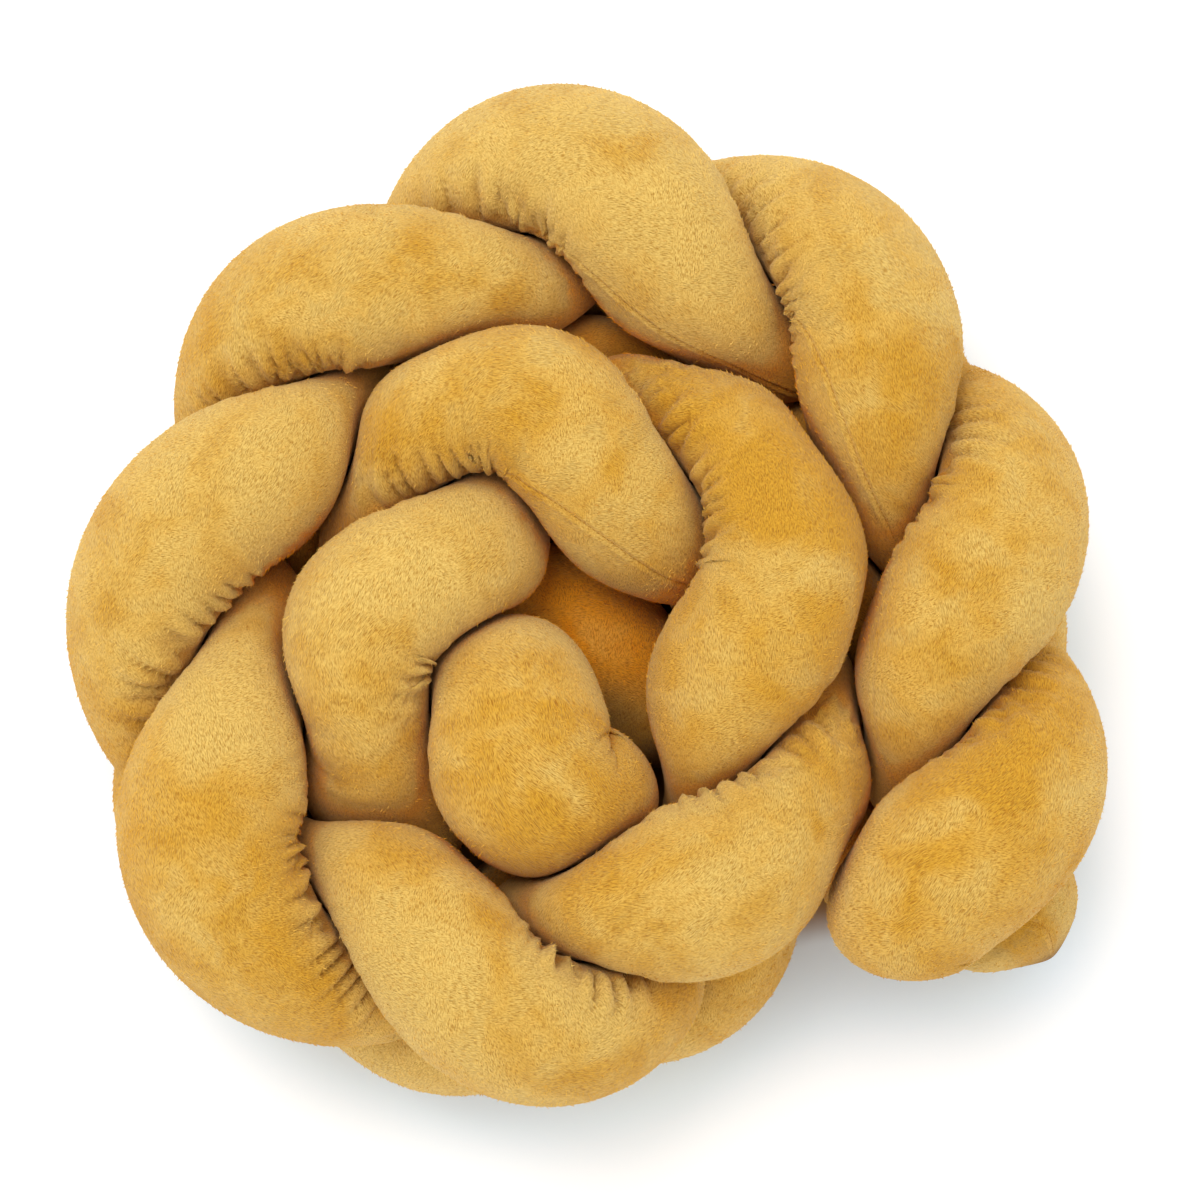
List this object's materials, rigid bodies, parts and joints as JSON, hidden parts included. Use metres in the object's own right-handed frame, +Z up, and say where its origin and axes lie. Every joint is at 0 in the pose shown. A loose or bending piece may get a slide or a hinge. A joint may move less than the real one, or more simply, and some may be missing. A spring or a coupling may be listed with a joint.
{
  "type": "braided crib bumper",
  "caption": "Braided crib bumper of stuffed plush strands plaited flat, stood on edge and wound into a spiral coil; a soft guard for the inside of a cot.",
  "frame": {"origin": "middle of the base of the coil, on the surface it rests on", "axes": "+Z up along the axis of the coil; +X to the right and +Y away from the viewer as the coil is seen from above, with the loose outer end at +X, -Y"},
  "size_m": [0.5374, 0.529, 0.2126],
  "materials": {
    "plush_a": "short-pile plush, mustard",
    "plush_b": "short-pile plush, mustard",
    "plush_c": "short-pile plush, mustard"
  },
  "bodies": {
    "root": {"strand_a": "plush_a", "strand_b": "plush_b", "strand_c": "plush_c"}
  },
  "joints": []
}
